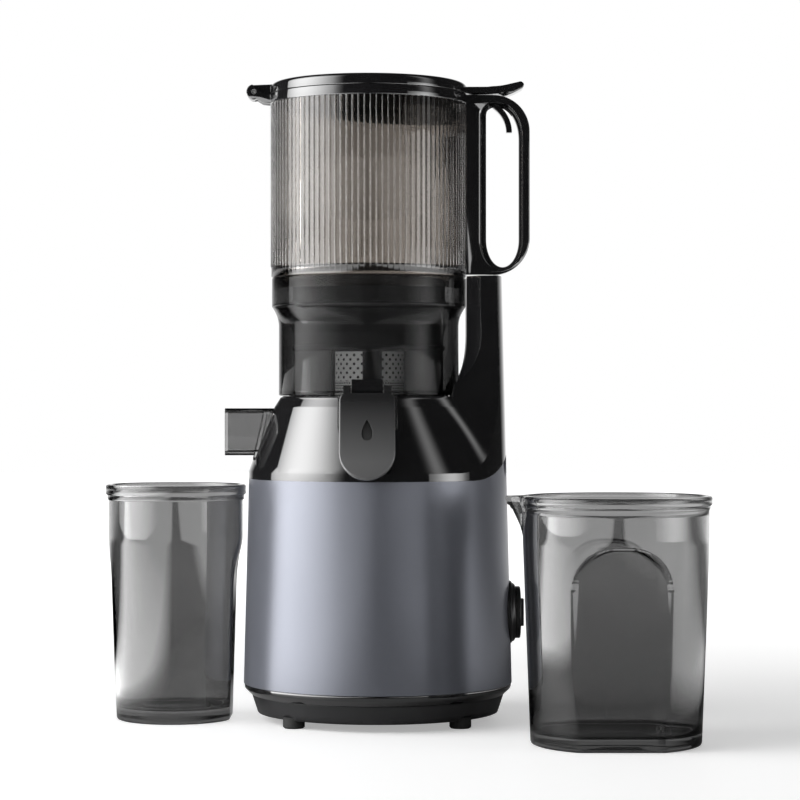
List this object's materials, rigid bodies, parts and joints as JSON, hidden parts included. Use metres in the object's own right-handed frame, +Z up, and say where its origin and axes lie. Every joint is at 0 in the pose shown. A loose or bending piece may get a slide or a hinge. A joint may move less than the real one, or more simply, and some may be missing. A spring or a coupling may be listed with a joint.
{
  "type": "cold press juicer",
  "caption": "Upright cold press juicer with a fluted hopper, smoky juicing chamber, auger, spine, loop handle, juice cup and pulp jug.",
  "frame": {"origin": "at the centre of the footprint of the machine with its cup and its jug, on the plane they stand on; the juicing axis is 20.0 mm to the left of it and 48.2 mm behind it", "axes": "+Z up along the juicing axis, +X towards the spine and the handle, -Y towards the juice tap"},
  "size_m": [0.4048, 0.2892, 0.4412],
  "materials": {
    "housing_paint": "satin, bluish grey",
    "black_gloss": "polished black",
    "black_satin": "fine satin black",
    "rubber": "matt",
    "screw_steel": "turned",
    "winding": "enamelled copper",
    "gear_steel": "ground",
    "nylon": "natural nylon",
    "board": "circuit board",
    "smoke": "smoky clear plastic, polished",
    "warm_smoke": "warm smoky clear plastic, polished",
    "screen_steel": "etched stainless sheet",
    "silicone": "soft silicone"
  },
  "bodies": {
    "base": {"motor_housing": "housing_paint", "top_cover": "black_gloss", "base_ring": "black_gloss", "base_tray": "black_satin", "rubber_feet": "rubber", "tray_screws": "screw_steel", "cord_inlet": "black_satin", "motor_stator": "winding", "gearbox_case": "nylon", "gearbox_plate": "nylon", "idler_axle": "gear_steel", "shaft_bearing": "gear_steel", "shaft_seal": "rubber", "control_board": "board", "knob_bezel": "black_gloss", "rotary_switch": "black_satin", "interlock_switch": "black_satin"},
    "interlock": {"interlock_pin": "nylon"},
    "motor": {"motor_rotor": "gear_steel", "motor_shaft": "gear_steel", "cooling_fan": "black_satin"},
    "idler": {"idler_gear": "gear_steel"},
    "drive": {"output_gear": "gear_steel", "drive_shaft": "gear_steel"},
    "knob": {"control_knob": "black_gloss"},
    "chamber": {"chamber_bowl": "smoke", "bowl_seal": "silicone", "strainer_holder": "smoke", "strainer_frame": "black_satin", "strainer_screen": "screen_steel", "tap_block": "black_gloss", "tap_pin": "screw_steel"},
    "tap": {"tap_flap": "smoke", "tap_seal": "silicone"},
    "auger_body": {"auger": "black_satin"},
    "hopper": {"hopper_shell": "warm_smoke", "hopper_rim": "black_gloss", "guide_rib": "warm_smoke", "hopper_handle": "black_gloss", "lid_pin": "screw_steel"},
    "lid": {"hopper_lid": "black_gloss", "lid_skirt": "warm_smoke"},
    "latch": {"lid_latch": "black_gloss"},
    "cup": {"juice_cup": "smoke"},
    "jug": {"pulp_jug": "smoke"}
  },
  "joints": [
    {"name": "drive_spin", "type": "hinge", "parent": "base", "child": "drive", "pos_m": [-0.02, 0.04817, 0.14], "axis": [0, 0, 1], "continuous": true},
    {"name": "idler_spin", "type": "hinge", "parent": "base", "child": "idler", "pos_m": [0.025, 0.07521, 0.14], "axis": [0, 0, 1], "continuous": true},
    {"name": "motor_spin", "type": "hinge", "parent": "base", "child": "motor", "pos_m": [-0.00813, 0.06115, 0.08], "axis": [0, 0, 1], "continuous": true},
    {"name": "auger_spin", "type": "hinge", "parent": "chamber", "child": "auger_body", "pos_m": [-0.02, 0.04817, 0.2], "axis": [0, 0, 1], "continuous": true},
    {"name": "knob_turn", "type": "hinge", "parent": "base", "child": "knob", "pos_m": [0.08, 0.04817, 0.0735], "axis": [1, 0, 0], "range_deg": [-45, 45]},
    {"name": "interlock_press", "type": "slide", "parent": "base", "child": "interlock", "axis": [0, 0, 1], "range_m": [-0.0015, 0], "stiffness_N_per_m": 400},
    {"name": "chamber_lift", "type": "slide", "parent": "base", "child": "chamber", "axis": [0, 0, 1], "range_m": [0, 0.12]},
    {"name": "tap_open", "type": "hinge", "parent": "chamber", "child": "tap", "pos_m": [-0.02, -0.02883, 0.227], "axis": [-1, 0, 0], "range_deg": [0, 80]},
    {"name": "hopper_lift", "type": "slide", "parent": "chamber", "child": "hopper", "axis": [0, 0, 1], "range_m": [0, 0.12]},
    {"name": "lid_open", "type": "hinge", "parent": "hopper", "child": "lid", "pos_m": [-0.0995, 0.04817, 0.4338], "axis": [0, -1, 0], "range_deg": [0, 95]},
    {"name": "latch_pull", "type": "hinge", "parent": "hopper", "child": "latch", "pos_m": [0.06792, 0.04817, 0.4279], "axis": [0, -1, 0], "range_deg": [0, 6], "stiffness_Nm_per_rad": 0.05},
    {"name": "cup_slide", "type": "slide", "parent": "base", "child": "cup", "axis": [0, -1, 0], "range_m": [0, 0.15]},
    {"name": "jug_lift", "type": "slide", "parent": "base", "child": "jug", "axis": [0, 0, 1], "range_m": [0, 0.15]}
  ],
  "couplings": [
    {"joint": "idler_spin", "follows": "drive_spin", "ratio": -4},
    {"joint": "motor_spin", "follows": "drive_spin", "ratio": 20},
    {"joint": "auger_spin", "follows": "drive_spin", "ratio": 1}
  ]
}
